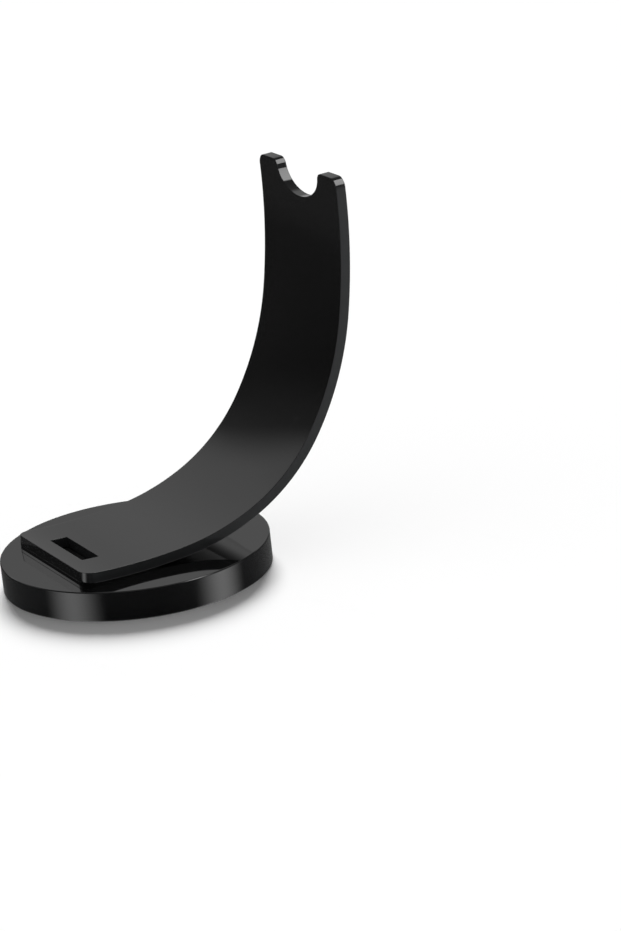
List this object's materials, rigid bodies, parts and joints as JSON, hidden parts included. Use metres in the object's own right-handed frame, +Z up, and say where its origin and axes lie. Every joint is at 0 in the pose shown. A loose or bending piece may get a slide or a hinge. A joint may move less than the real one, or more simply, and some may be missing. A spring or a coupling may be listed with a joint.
{
  "type": "pen stand",
  "caption": "Desk stand that holds a pen at a slant: a thick round base with a strip bent up from it, with a slot at the toe and a rounded notch between ears at the top.",
  "frame": {"origin": "centre of the base's underside, on the desk", "axes": "+Z up; +X from the slot towards the notch, the way the pen leans back; +Y across the strip, to the left when looking along +X"},
  "size_m": [0.0889, 0.065, 0.0894],
  "materials": {
    "base_acrylic": "polished cast acrylic, black",
    "arm_acrylic": "polished sheet acrylic, black, bent warm, cut edges flame polished",
    "cement": "set acrylic cement, tinted dark by the sheet that it dissolves"
  },
  "bodies": {
    "root": {"base_disc": "base_acrylic", "cradle_arm": "arm_acrylic", "cement_film": "cement"}
  },
  "joints": []
}
